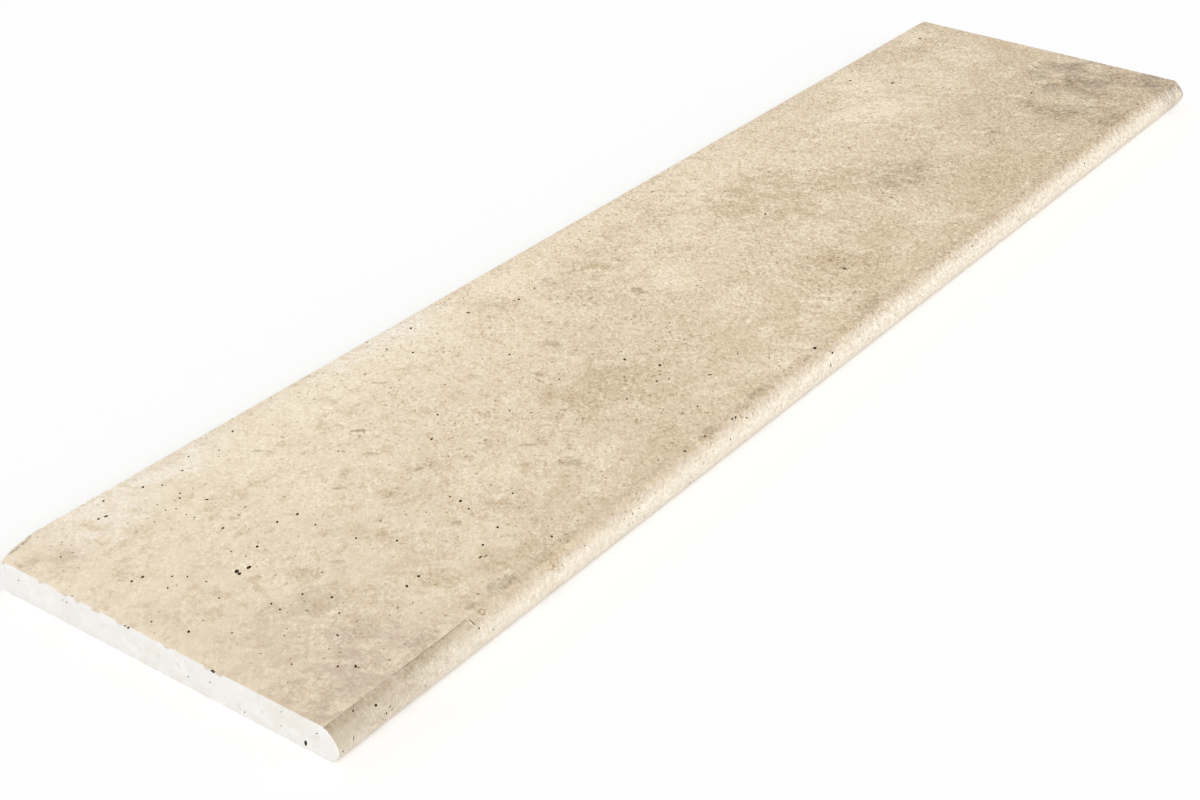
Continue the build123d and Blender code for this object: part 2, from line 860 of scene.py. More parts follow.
DARK_CHIPS = (
    Chip(Side.LEFT_END, 118, 5, 1.5),
    Chip(Side.LEFT_END, 187, 4.5, 1.5),
)
PALE_CHIPS = (
    Chip(Side.LEFT_END, 112, 7, 1.7),
    Chip(Side.LEFT_END, 191, 7, 1.9),
    Chip(Side.LEFT_END, 44, 4, 1.8),
    Chip(Side.LEFT_END, 64, 9, 1.3),
    Chip(Side.LEFT_END, 11, 4, 1.6),
    Chip(Side.LEFT_END, 150, 7, 1.2),
    Chip(Side.LEFT_END, 17, 5, 1.7, at_top=False),
    Chip(Side.LEFT_END, 180, 5, 1.6, at_top=False),
    Chip(Side.BACK, 58, 10, 1.5),
    Chip(Side.BACK, 96, 5, 1.8),
)


@dataclass
class Chips:
    """The chips along the arrises of the ends and the back.

    The places and sizes that chips get by chance are in millimetres, as those of a Chip are.
    Width and height are how many times as wide and as high as it is deep a chip's lump is.
    """

    slab: Slab
    chips: Sequence[Chip]
    finish: Finish
    scattered: int = 0
    end_places: tuple[float, float] = (20, 255)
    back_places: tuple[float, float] = (20, 1180)
    lengths: tuple[float, float] = (2, 7)
    depths: tuple[float, float] = (0.9, 1.9)
    top_share: float = 0.6
    width: float = 1.6
    height: float = 1.3
    roughness: float = 0.06
    patterns: int = 5
    first_pattern: int = 20
    seed: int = 5

    def build(self) -> list[bpy.types.Object]:
        """Models what is missing from the chips.

        Returns:
            The cutters.
        """
        chance = random.Random(self.seed)
        numbers = range(self.first_pattern, self.first_pattern + self.patterns)
        balls = [uneven_ball(self.roughness, number) for number in numbers]
        lumps = [self._lump(chip, chance.choice(balls)) for chip in self.chips]
        for _ in range(self.scattered):
            side = chance.choice((Side.LEFT_END, Side.RIGHT_END, Side.BACK, Side.BACK))
            place = chance.uniform(*(self.back_places if side is Side.BACK else self.end_places))
            long, deep = chance.uniform(*self.lengths), chance.uniform(*self.depths)
            chip = Chip(side, place, long, deep, chance.random() < self.top_share)
            lumps.append(self._lump(chip, chance.choice(balls)))
        cutters = join_lumps(lumps, self.finish)
        for ball in balls:
            bpy.data.objects.remove(ball)
        return cutters

    def _lump(self, chip: Chip, ball: bpy.types.Object) -> Lump:
        """Works out what is missing from one chip.

        Args:
            chip: the chip.
            ball: the pattern of the lump.

        Returns:
            The lump, on its arris.
        """
        low, high = self.slab.low, self.slab.high
        height = high.z if chip.at_top else low.z
        outward = Vector(chip.side.value)
        point = Vector((low.x + chip.place * MM, high.y, height))
        if chip.side is not Side.BACK:
            edge = low.x if chip.side is Side.LEFT_END else high.x
            point = Vector((edge, high.y - chip.place * MM, height))
        upward = Vector((0, 0, 1 if chip.at_top else -1))
        facing = (outward + upward).normalized()
        along = upward.cross(outward).normalized()
        axes = Matrix((along, facing.cross(along), facing)).transposed()
        size = Vector((chip.long, chip.deep * self.width, chip.deep * self.height)) * MM
        place = Matrix.LocRotScale(point, axes.to_quaternion(), size)
        return Lump(ball, place, max(size) * LUMP_REACH)


@dataclass
class Tread:
    """The whole tread: the slab, what has been cut, broken and chipped from it, and its finishes."""

    slab: Slab
    finishes: Mapping[Finish, bpy.types.Material]
    smooth_below: float = radians(32)

    def build(self) -> bpy.types.Object:
        """Models and dresses the tread.

        Returns:
            The finished piece.
        """
        stone = self.slab.build()
        self._dress(stone)
        missing = (
            BrokenCorner(self.slab),
            Ledge(self.slab),
            Chips(self.slab, PALE_CHIPS, Finish.BROKEN, scattered=40),
            Chips(self.slab, DARK_CHIPS, Finish.LINING),
            Pits(self.slab),
        )
        cutters = []
        for kind in missing:
            lumps = kind.build()
            cutters += lumps
            faces = sum(len(lump.data.polygons) for lump in lumps)
            log.info("%s: %d cutters, %d faces", type(kind).__name__, len(lumps), faces)
        self._cut(stone, cutters)
        choose(stone)
        bpy.ops.object.shade_smooth_by_angle(angle=self.smooth_below)
        return stone

    def _dress(self, piece: bpy.types.Object) -> None:
        """Gives a piece a slot for each finish."""
        for finish in Finish:
            piece.data.materials.append(self.finishes[finish])

    def _cut(self, stone: bpy.types.Object, cutters: Sequence[bpy.types.Object]) -> None:
        """Cuts all that is missing out of the stone at once, which keeps the mesh closed.

        Args:
            stone: the slab.
            cutters: the closed pieces that take stone away, which are deleted.
        """
        group = bpy.data.collections.new("cutters")
        for cutter in cutters:
            self._dress(cutter)
            group.objects.link(cutter)
        choose(stone)
        difference = stone.modifiers.new("cut", "BOOLEAN")
        difference.operation = "DIFFERENCE"
        difference.solver = "EXACT"
        difference.material_mode = "INDEX"
        difference.operand_type = "COLLECTION"
        difference.collection = group
        bpy.ops.object.modifier_apply(modifier=difference.name)
        for cutter in cutters:
            bpy.data.objects.remove(cutter)
        bpy.data.collections.remove(group)


class Paint:
    """The node tree of one finish, whose colours are laid over a base colour one by one.

    A mask is a value that is 0 where nothing is laid and 1 where all of a colour is.
    """

    def __init__(self, name: str, base: str, stir_size: float, stir_reach: float) -> None:
        """Starts the tree with its base colour and its coordinates.

        Args:
            name: the name of the finish.
            base: the colour under all the others.
            stir_size: the size of the swirls that bend the patterns, in millimetres.
            stir_reach: how far those swirls bend them, in millimetres.
        """
        self.material = bpy.data.materials.new(name)
        self.material.use_nodes = True
        self.tree = self.material.node_tree
        self.tree.nodes.clear()
        self.colour: Output | Colour = linear(base)
        self.place = self.add("ShaderNodeTexCoord").outputs["Object"]
        self.stirred = self.stir(stir_size, stir_reach)

    @cached_property
    def axes(self) -> Sequence[Output]:
        """The coordinates along each axis, in metres."""
        return self.add("ShaderNodeSeparateXYZ", {0: self.place}).outputs

    def add(
        self, kind: str, inputs: Mapping[str | int, object] | None = None, **settings: object
    ) -> bpy.types.Node:
        """Adds one node to this tree, as add_node does."""
        return add_node(self.tree, kind, inputs, **settings)

    def stir(self, size: float, reach: float) -> Output:
        """Bends the coordinates, so that what is drawn with them gets an uneven outline.

        Args:
            size: the size of the swirls, in millimetres.
            reach: how far they bend the coordinates, in millimetres.

        Returns:
            The bent coordinates.
        """
        swirl = self.add(
            "ShaderNodeTexNoise",
            {"Vector": self.place, "Scale": 1 / (size * MM), "Detail": 5.0, "Roughness": 0.6},
        )
        even = self.add(
            "ShaderNodeVectorMath",
            {0: swirl.outputs["Color"], 1: (0.5, 0.5, 0.5)},
            operation="SUBTRACT",
        )
        shift = self.add(
            "ShaderNodeVectorMath", {0: even.outputs[0], "Scale": 2 * reach * MM}, operation="SCALE"
        )
        return self.add(
            "ShaderNodeVectorMath", {0: self.place, 1: shift.outputs[0]}, operation="ADD"
        ).outputs[0]

    def between(self, value: Output, start: float, end: float, most: float = 1.0) -> Output:
        """Makes a mask that rises smoothly with a value.

        Args:
            value: the value.
            start: where the mask begins to rise from 0.
            end: where it has risen, which is under start if it grows as the value falls.
            most: what it rises to.

        Returns:
            The mask.
        """
        return self.add(
            "ShaderNodeMapRange",
            {"Value": value, "From Min": start, "From Max": end, "To Max": most},
            interpolation_type="SMOOTHSTEP",
        ).outputs[0]

    def rise(self, axis: Axis, start: float, end: float, most: float = 1.0) -> Output:
        """Makes a mask that rises between two places along an axis, in millimetres."""
        return self.between(self.axes[axis], start * MM, end * MM, most)

    def both(self, *masks: Output) -> Output:
        """Makes a mask of where all the given masks are.

        Args:
            masks: the masks.

        Returns:
            Their product.
        """
        total = masks[0]
        for mask in masks[1:]:
            total = self.add("ShaderNodeMath", {0: total, 1: mask}, operation="MULTIPLY").outputs[0]
        return total

    def noise(
        self,
        size: float,
        detail: float = 3.0,
        roughness: float = 0.6,
        stretch: tuple[float, float, float] = (1, 1, 1),
        turn: float = 0.0,
        place: Output | None = None,
    ) -> Output:
        """Makes a noise that is about 0.5 on average.

        Args:
            size: the size of its patches, in millimetres.
            detail: how many finer noises are added to it.
            roughness: how strong each of those is, next to the one before.
            stretch: how many times longer the patches are along each axis.
            turn: how far those axes are turned in plan, in radians.
            place: the coordinates, when they aren't the bent ones.

        Returns:
            The noise.
        """
        scaled = self.add(
            "ShaderNodeMapping",
            {
                "Vector": place or self.stirred,
                "Rotation": (0, 0, turn),
                "Scale": tuple(value * size * MM for value in stretch),
            },
            vector_type="TEXTURE",
        )
        inputs = {
            "Vector": scaled.outputs[0], "Scale": 1.0, "Detail": detail, "Roughness": roughness
        }
        return self.add("ShaderNodeTexNoise", inputs).outputs[0]

    def flecks(
        self, spacing: float, across: float, share: float, most: float = 1.0, level: bool = False
    ) -> Output:
        """Makes a mask of small round specks, some of them faint.

        Args:
            spacing: how far apart the places where a speck may be are, in millimetres.
            across: how wide a speck may be, in millimetres.
            share: the share of the places that has one.
            most: how much a speck counts.
            level: whether the face is level, so that all its specks can be cut at their widest.

        Returns:
            The mask.
        """
        cells = self.add(
            "ShaderNodeTexVoronoi",
            {"Vector": self.stirred, "Scale": 1 / (spacing * MM)},
            voronoi_dimensions="2D" if level else "3D",
        )
        edge = across / spacing / 2
        spots = self.between(cells.outputs["Distance"], edge, edge * 0.5, most)
        chances = self.add("ShaderNodeSeparateColor", {0: cells.outputs["Color"]}).outputs
        chosen = self.add("ShaderNodeMath", {0: chances[0], 1: share}, operation="LESS_THAN")
        return self.both(spots, chosen.outputs[0], self.between(chances[1], -0.6, 1.0))

    def ball(self, place: Output, centre: Vector, size: Vector, turn: float = 0.0) -> Output:
        """Makes a value that falls evenly from a centre.

        Args:
            place: the coordinates.
            centre: where the value is 1.
            size: how far off it has fallen to 0, along each axis.
            turn: how far those axes are turned in plan, in radians.

        Returns:
            The value.
        """
        local = self.add(
            "ShaderNodeMapping",
            {"Vector": place, "Location": centre, "Rotation": (0, 0, turn), "Scale": size},
            vector_type="TEXTURE",
        )
        return self.add(
            "ShaderNodeTexGradient", {"Vector": local.outputs[0]}, gradient_type="SPHERICAL"
        ).outputs[1]

    def lay(self, colour: str, mask: Output) -> None:
        """Lays a colour over what is there.

        Args:
            colour: six hex digits.
            mask: where the colour is laid.
        """
        # a mix of colours has them as its inputs 6 and 7, and its result as its output 2
        mix = self.add(
            "ShaderNodeMix", {0: mask, 6: self.colour, 7: linear(colour)}, data_type="RGBA"
        )
        self.colour = mix.outputs[2]

    def patches(
        self, colour: str, size: float, start: float, end: float, most: float, detail: float = 3.0
    ) -> None:
        """Lays patches of a colour by chance, where a noise is high.

        Args:
            colour: six hex digits.
            size: the size of the patches, in millimetres.
            start: how high the noise is where the colour begins to show.
            end: how high it is where the colour shows most.
            most: how much of the colour shows there.
            detail: how many finer noises tear the patches up.
        """
        self.lay(colour, self.between(self.noise(size, detail), start, end, most))

    def deepen(self, power: Output) -> None:
        """Darkens the colour where a power is over 1, and makes it paler where it is under 1.

        The power alone would turn the dark parts orange, and a plain factor would turn them grey,
        so half of the change is made each way.

        Args:
            power: what the colour is raised to.
        """
        raised = self.add("ShaderNodeGamma", {"Color": self.colour, "Gamma": power}).outputs[0]
        factor = self.add(
            "ShaderNodeMath", {0: power, 1: -0.5, 2: 1.5}, operation="MULTIPLY_ADD"
        ).outputs[0]
        self.colour = self.add(
            "ShaderNodeHueSaturation", {"Color": raised, "Value": factor}
        ).outputs[0]

    def mark(self, mask: Output, power: float) -> None:
        """Deepens the colour by a power where a mask is."""
        inputs = {"Value": mask, "To Min": 1.0, "To Max": power}
        self.deepen(self.add("ShaderNodeMapRange", inputs).outputs[0])

    def vary(self, noise: Output, amount: float | Output) -> None:
        """Makes the colour paler where a noise is high and deeper where it is low.

        Args:
            noise: the noise.
            amount: how much is changed at most.
        """
        deepest = self.add("ShaderNodeMath", {0: 1.0, 1: amount}, operation="ADD").outputs[0]
        palest = self.add("ShaderNodeMath", {0: 1.0, 1: amount}, operation="SUBTRACT").outputs[0]
        inputs = {"Value": noise, "To Min": deepest, "To Max": palest}
        self.deepen(self.add("ShaderNodeMapRange", inputs).outputs[0])

    def rough(self, grain: Output, least: float, most: float) -> Output:
        """Makes a roughness that varies from least to most with the grain."""
        return self.add(
            "ShaderNodeMapRange", {"Value": grain, "To Min": least, "To Max": most}
        ).outputs[0]

    def finish(
        self, roughness: Output, heights: Sequence[tuple[Output, float]]
    ) -> bpy.types.Material:
        """Ends the tree with its shader.

        Args:
            roughness: the roughness of the surface.
            heights: what raises the surface, each with how far, in millimetres.

        Returns:
            The material.
        """
        shader = self.add(
            "ShaderNodeBsdfPrincipled",
            {"Base Color": self.colour, "Roughness": roughness, "IOR": CALCITE_IOR},
        )
        normal = None
        for height, distance in heights:
            inputs = {"Height": height, "Distance": distance * MM, "Strength": 1.0}
            if normal is not None:
                inputs["Normal"] = normal
            normal = self.add("ShaderNodeBump", inputs).outputs[0]
        self.tree.links.new(normal, shader.inputs["Normal"])
        self.add("ShaderNodeOutputMaterial", {"Surface": shader.outputs[0]})
        return self.material


@dataclass(frozen=True)
class Cloud:
    """A patch of colour in the top face, in millimetres.

    Long and wide are how far it reaches from its middle along the tread and across it, before it
    is turned by some degrees.
    """

    shade: Shade
    from_left: float
    from_back: float
    long: float
    wide: float
    strength: float
    turn: float = 0.0


CLOUDS = (
    Cloud(Shade.WHITE, 148, 12, 62, 26, 0.95),
    Cloud(Shade.WHITE, 76, 24, 66, 36, 0.6),
    Cloud(Shade.WHITE, 265, 20, 74, 42, 0.55),
    Cloud(Shade.WHITE, 362, 24, 66, 40, 0.55),
    Cloud(Shade.PALE, 470, 20, 50, 36, 0.8),
    Cloud(Shade.PALE, 320, 10, 240, 56, 0.55),
    Cloud(Shade.PALE, 190, 40, 60, 30, 0.4),
    Cloud(Shade.PALE, 500, 240, 100, 30, 0.45),
    Cloud(Shade.PALE, 172, 80, 34, 80, 0.55),
    Cloud(Shade.PALE, 255, 182, 42, 34, 0.5),
    Cloud(Shade.PALE, 46, 114, 46, 28, 0.7),
    Cloud(Shade.PALE, 558, 120, 34, 34, 0.7),
    Cloud(Shade.PALE, 545, 176, 26, 22, 0.55),
    Cloud(Shade.PALE, 440, 150, 30, 20, 0.4),
    Cloud(Shade.PALE, 940, 78, 74, 42, 0.95),
    Cloud(Shade.PALE, 650, 90, 30, 34, 0.25),
    Cloud(Shade.TAN, 494, 62, 46, 28, 0.42),
    Cloud(Shade.PALE, 120, 238, 36, 20, 0.5),
    Cloud(Shade.PALE, 210, 226, 30, 20, 0.35),
    Cloud(Shade.PALE, 782, 226, 38, 22, 0.3),
    Cloud(Shade.PALE, 930, 180, 32, 26, 0.3),
    Cloud(Shade.PALE, 1140, 76, 60, 40, 0.55),
    Cloud(Shade.PALE, 1010, 34, 90, 52, 0.6),
    Cloud(Shade.PALE, 1060, 90, 60, 44, 0.5),
    Cloud(Shade.ROSE, 44, 244, 90, 46, 0.8),
    Cloud(Shade.ROSE, 20, 36, 34, 24, 0.6),
    Cloud(Shade.ROSE, 66, 112, 30, 20, 0.35),
    Cloud(Shade.ROSE, 24, 128, 22, 30, 0.3),
    Cloud(Shade.TAN, 100, 192, 42, 22, 0.35),
    Cloud(Shade.TAN, 390, 170, 84, 44, 0.55),
    Cloud(Shade.TAN, 440, 40, 32, 26, 0.5),
    Cloud(Shade.TAN, 538, 60, 38, 34, 0.85),
    Cloud(Shade.TAN, 500, 100, 32, 40, 0.3),
    Cloud(Shade.TAN, 700, 90, 66, 44, 0.7),
    Cloud(Shade.TAN, 735, 130, 66, 42, 0.6),
    Cloud(Shade.BROWN, 830, 164, 54, 42, 0.55),
    Cloud(Shade.TAN, 660, 215, 60, 52, 0.7),
    Cloud(Shade.TAN, 700, 212, 62, 32, 0.3),
    Cloud(Shade.TAN, 900, 232, 84, 42, 0.5),
    Cloud(Shade.TAN, 340, 254, 36, 20, 0.4),
    Cloud(Shade.TAN, 180, 246, 22, 20, 0.35),
    Cloud(Shade.BROWN, 1055, 214, 34, 50, 0.5),
    Cloud(Shade.UMBER, 1132, 194, 54, 54, 0.5),
    Cloud(Shade.UMBER, 1186, 178, 40, 36, 0.65),
    Cloud(Shade.UMBER, 1190, 260, 54, 38, 0.7),
    Cloud(Shade.BROWN, 1060, 262, 44, 22, 0.45),
    Cloud(Shade.TAN, 755, 80, 50, 30, 0.5),
    Cloud(Shade.TAN, 440, 130, 50, 36, 0.4),
    Cloud(Shade.TAN, 806, 128, 60, 36, 0.55),
    Cloud(Shade.TAN, 250, 242, 50, 26, 0.35),
    Cloud(Shade.TAN, 840, 242, 54, 26, 0.35),
    Cloud(Shade.TAN, 800, 262, 54, 14, 0.6),
    Cloud(Shade.TAN, 195, 270, 50, 9, 0.6),
    Cloud(Shade.MAUVE, 92, 264, 38, 10, 0.5),
    Cloud(Shade.MAUVE, 84, 267, 24, 5, 0.6),
    Cloud(Shade.TAN, 140, 256, 30, 14, 0.35),
    Cloud(Shade.PALE, 400, 262, 40, 10, 0.4),
    Cloud(Shade.TAN, 200, 254, 40, 14, 0.5),
    Cloud(Shade.MAUVE, 8, 264, 30, 22, 0.6),
    Cloud(Shade.TAN, 1000, 267, 60, 8, 0.5),
    Cloud(Shade.PALE, 594, 240, 52, 30, 0.55),
    Cloud(Shade.UMBER, 1130, 220, 124, 66, 0.35),
    Cloud(Shade.PALE, 290, 26, 210, 34, 0.75),
    Cloud(Shade.PALE, 130, 38, 60, 30, 0.5),
    Cloud(Shade.TAN, 612, 50, 86, 38, 0.42),
    Cloud(Shade.PALE, 960, 96, 64, 34, 0.5),
    Cloud(Shade.PALE, 200, 100, 90, 50, 0.3),
    Cloud(Shade.PALE, 950, 138, 50, 30, 0.4),
    Cloud(Shade.MAUVE, 60, 190, 90, 40, 0.35),
    Cloud(Shade.PALE, 550, 190, 50, 30, 0.4),
    Cloud(Shade.MAUVE, 50, 236, 80, 26, 0.3),
    Cloud(Shade.UMBER, 1146, 158, 46, 24, 0.35),
    Cloud(Shade.TAN, 1000, 142, 62, 26, 0.4),
    Cloud(Shade.TAN, 1110, 26, 36, 22, 0.5),
    Cloud(Shade.TAN, 1184, 116, 26, 62, 0.6),
    Cloud(Shade.TAN, 975, 190, 26, 22, 0.45),
    Cloud(Shade.BROWN, 245, 80, 9, 2.6, 0.65, -50),
    Cloud(Shade.BROWN, 301, 47, 8, 2.6, 0.5, -50),
    Cloud(Shade.BROWN, 181, 115, 10, 2.6, 0.6, -48),
    Cloud(Shade.GREY, 186, 44, 16, 2, 0.5, -54),
    Cloud(Shade.BROWN, 228, 106, 9, 3.2, 0.4, -50),
    Cloud(Shade.TAN, 199, 148, 16, 10, 0.6, -50),
    Cloud(Shade.BROWN, 120, 89, 9, 3, 0.35, -50),
    Cloud(Shade.BROWN, 298, 181, 10, 3.2, 0.5, -50),
    Cloud(Shade.BROWN, 231, 142, 7, 5, 0.35),
    Cloud(Shade.BROWN, 197, 202, 5, 5, 0.5),
    Cloud(Shade.BROWN, 297, 216, 13, 10, 0.4, -50),
    Cloud(Shade.BROWN, 379, 129, 8, 6, 0.5),
    Cloud(Shade.BROWN, 418, 108, 14, 8, 0.4, -50),
    Cloud(Shade.BROWN, 121, 171, 7, 3, 0.35, -50),
    Cloud(Shade.TAN, 99, 162, 13, 8, 0.5, -50),
    Cloud(Shade.TAN, 143, 231, 24, 13, 0.5, -50),
    Cloud(Shade.BROWN, 525, 111, 9, 8, 0.5),
    Cloud(Shade.BROWN, 496, 48, 10, 9, 0.35),
    Cloud(Shade.BROWN, 654, 216, 9, 6, 0.6, -50),
    Cloud(Shade.BROWN, 636, 192, 8, 6, 0.45, -50),
    Cloud(Shade.BROWN, 618, 262, 22, 8, 0.45),
    Cloud(Shade.BROWN, 447, 265, 14, 6, 0.5),
    Cloud(Shade.BROWN, 382, 268, 16, 6, 0.45),
    Cloud(Shade.GREY, 1158, 160, 40, 12, 0.55, -53),
    Cloud(Shade.BROWN, 1127, 192, 40, 11, 0.6, -56),
    Cloud(Shade.BROWN, 1122, 228, 34, 10, 0.35, -54),
    Cloud(Shade.BROWN, 1063, 183, 16, 10, 0.5, -50),
    Cloud(Shade.BROWN, 1056, 205, 34, 10, 0.5, -56),
    Cloud(Shade.BROWN, 1060, 260, 20, 10, 0.4, -50),
    Cloud(Shade.BROWN, 1183, 253, 22, 11, 0.4, -50),
    Cloud(Shade.BROWN, 1175, 220, 22, 11, 0.35, -50),
    Cloud(Shade.BROWN, 1122, 40, 15, 6, 0.4, -50),
    Cloud(Shade.BROWN, 1029, 59, 9, 4, 0.5, -50),
    Cloud(Shade.BROWN, 975, 189, 11, 8, 0.45),
    Cloud(Shade.BROWN, 956, 144, 9, 6, 0.4),
    Cloud(Shade.BROWN, 867, 169, 22, 13, 0.35),
    Cloud(Shade.BROWN, 829, 145, 11, 8, 0.35),
    Cloud(Shade.BROWN, 133, 264, 7, 3, 0.45),
    Cloud(Shade.GREY, 161, 264, 22, 8, 0.4),
    Cloud(Shade.MAUVE, 45, 264, 80, 20, 0.4),
    Cloud(Shade.WHITE, 350, 6, 120, 20, 0.8),
    Cloud(Shade.WHITE, 108, 4, 74, 20, 0.75),
    Cloud(Shade.PALE, 512, 260, 54, 16, 0.75),
    Cloud(Shade.PALE, 1000, 100, 46, 46, 0.5),
    Cloud(Shade.PALE, 1095, 60, 38, 32, 0.5),
    Cloud(Shade.PALE, 1142, 12, 52, 22, 0.55),
    Cloud(Shade.PALE, 1118, 134, 38, 20, 0.4),
    Cloud(Shade.TAN, 140, 206, 38, 22, 0.4),
    Cloud(Shade.PALE, 1094, 206, 32, 32, 0.4),
    Cloud(Shade.TAN, 758, 98, 40, 40, 0.35),
    Cloud(Shade.GREY, 17, 4.8, 22, 2.2, 0.75, 15),
)


@dataclass(frozen=True)
class Band:
    """A band of colour on the near end of the nose, in millimetres.

    Each pair says where the band begins to show and where it shows most: along the tread from
    its left end, and down from the top face.
    """

    colour: str
    along: tuple[float, float]
    down: tuple[float, float]
    most: float


@dataclass(frozen=True)
class HonedTravertine:
    """The walked-on faces: travertine ground flat and left matt.

    Honing closes nothing and polishes nothing. It leaves soft clouds of cream, rose and tan, a
    fine speckle of crystals and dust, and a dull sheen that only shows at a low angle.
    """

    front: str = "DAC5A5"
    back: str = "ECDABE"
    left: str = "F0E3CE"
    right: str = "C6B192"
    crease_band: str = "C6B297"
    nose: str = "ECE1CD"
    blush: str = "DACAB5"
    far_nose: str = "C6B39E"
    pinhole: str = "503C22"
    # the first tints the nose near the left end; the second is painted shade just under the sharp
    # crease, and the third a painted shadow line close under it
    near_bands: tuple[Band, ...] = (
        Band("BFB39D", along=(200, -30), down=(22, 4), most=0.95),
        Band("AA9A82", along=(150, 50), down=(5, 1.5), most=0.92),
        Band("94836B", along=(132, 114), down=(1.8, 0.7), most=0.45),
    )
    crease_band_from: tuple[float, float] = (105, 165)
    far_nose_from: tuple[float, float] = (1110, 1200)
    ring_place: tuple[float, float] = (135, 1.3)
    ring_radius: float = 3
    smudge_size: float = 25
    bedding: float = radians(-50)

    def make(self, slab: Slab) -> bpy.types.Material:
        """Makes the material.

        Args:
            slab: the slab that it goes on, which gives the places of its clouds.

        Returns:
            The material.
        """
        paint = Paint("honed_travertine", self.front, stir_size=45, stir_reach=16)
        paint.lay(self.back, paint.rise(Axis.Y, -120, 130))
        # paler towards the left end and darker towards the right: partly the stone's own colour,
        # partly painted light that falls off away from the left
        paint.lay(self.left, paint.rise(Axis.X, -50, -600, 0.45))
        paint.lay(self.right, paint.rise(Axis.X, 50, 600, 0.6))
        self._mottle(paint)
        self._shade_nose(paint, slab)
        self._lay_clouds(paint, slab)
        self._mark_ring(paint, slab)
        self._speckle(paint, slab)
        grain = paint.noise(1.2)
        return paint.finish(paint.rough(grain, 0.45, 0.65), [(grain, 0.06), (paint.noise(7), 0.1)])

    def _mottle(self, paint: Paint) -> None:
        """Lays the patches that have no place of their own, from palm size to fingertip size.

        Args:
            paint: the paint of the finish.
        """
        paint.patches(Shade.PALE.value, 70, 0.52, 0.7, 0.4)
        paint.patches(Shade.TAN.value, 38, 0.54, 0.72, 0.4)
        paint.patches(Shade.PALE.value, 19, 0.52, 0.68, 0.5, detail=4)
        paint.patches(Shade.TAN.value, 12, 0.53, 0.68, 0.5, detail=4)

    def _lay_clouds(self, paint: Paint, slab: Slab) -> None:
        """Lays the patches that have a place, torn up by a noise that runs along the bedding.

        Args:
            paint: the paint of the finish.
            slab: the slab that it goes on.
        """
        bedding = {"roughness": 0.8, "stretch": (1.6, 1, 1), "turn": self.bedding}
        coarse = paint.between(paint.noise(16, 5, **bedding), 0.34, 0.66)
        fine = paint.between(paint.noise(5, 3, **bedding), 0.3, 0.62)
        bent = paint.stir(7, 4)
        for cloud in CLOUDS:
            if cloud.long < self.smudge_size:
                place, tears, start, end = bent, fine, 0.1, 0.45
            else:
                place, tears, start, end = paint.stirred, coarse, 0, 0.6
            left, back = cloud.from_left * MM, cloud.from_back * MM
            centre = Vector((slab.low.x + left, slab.high.y - back, slab.high.z))
            size = Vector((cloud.long, cloud.wide, cloud.long)) * MM
            torn = paint.both(paint.ball(place, centre, size, radians(cloud.turn)), tears)
            paint.lay(cloud.shade.value, paint.between(torn, start, end, cloud.strength))

    def _shade_nose(self, paint: Paint, slab: Slab) -> None:
        """Lays a darker band along the crease, and the nose below it, which turns paler further
        down.

        Args:
            paint: the paint of the finish.
            slab: the slab that it goes on.
        """
        crease, top, height = slab.crease, slab.high.z, paint.axes[Axis.Z]

        def along(places: tuple[float, float], most: float = 1.0) -> Output:
            """Makes a mask that rises between two places, in millimetres from the left end."""
            start, end = (slab.low.x + place * MM for place in places)
            return paint.between(paint.axes[Axis.X], start, end, most)

        def down(drops: tuple[float, float], most: float = 1.0, of: Output = height) -> Output:
            """Makes a mask that rises between two drops, in millimetres under the top face."""
            start, end = (top - drop * MM for drop in drops)
            return paint.between(of, start, end, most)

        # a darker band along the crease, from a little way behind it onto the nose, away from the
        # left end
        beside = paint.between(paint.axes[Axis.Y], crease + 12 * MM, crease + 1 * MM, 0.75)
        patchy = paint.between(paint.noise(26), 0.3, 0.6)
        paint.lay(self.crease_band, paint.both(along(self.crease_band_from), beside, patchy))
        # near the left end the paler stone begins lower down the nose
        lower = along((450, 150), most=1.8 * MM)
        lowered = paint.add("ShaderNodeMath", {0: height, 1: lower}, operation="ADD").outputs[0]
        # a pinker band under the crease, then pale cream further down the nose: partly the nose's
        # own paler stone, partly painted light from below
        paint.lay(self.blush, down((0.2, 2), 0.7, lowered))
        paint.lay(self.nose, down((1, 7), 0.95, lowered))
        on_nose = down((0.05, 0.3))
        # the near-end bands, with painted shade and a painted shadow line under the sharp crease
        for band in self.near_bands:
            place = paint.both(along(band.along), on_nose, down(band.down, band.most))
            paint.lay(band.colour, place)
        paint.lay(self.far_nose, paint.both(along(self.far_nose_from, 0.3), on_nose))

    def _mark_ring(self, paint: Paint, slab: Slab) -> None:
        """Lays the small fossil ring beside the end of the sharp crease.

        Args:
            paint: the paint of the finish.
            slab: the slab that it goes on.
        """
        from_left, drop = (distance * MM for distance in self.ring_place)
        centre = slab.on_nose(from_left, drop)[0]
        ball = paint.ball(paint.place, centre, Vector.Fill(3, self.ring_radius * MM))
        ring = paint.both(paint.between(ball, 0.1, 0.3), paint.between(ball, 0.65, 0.45, 0.7))
        paint.lay(Shade.BROWN.value, ring)

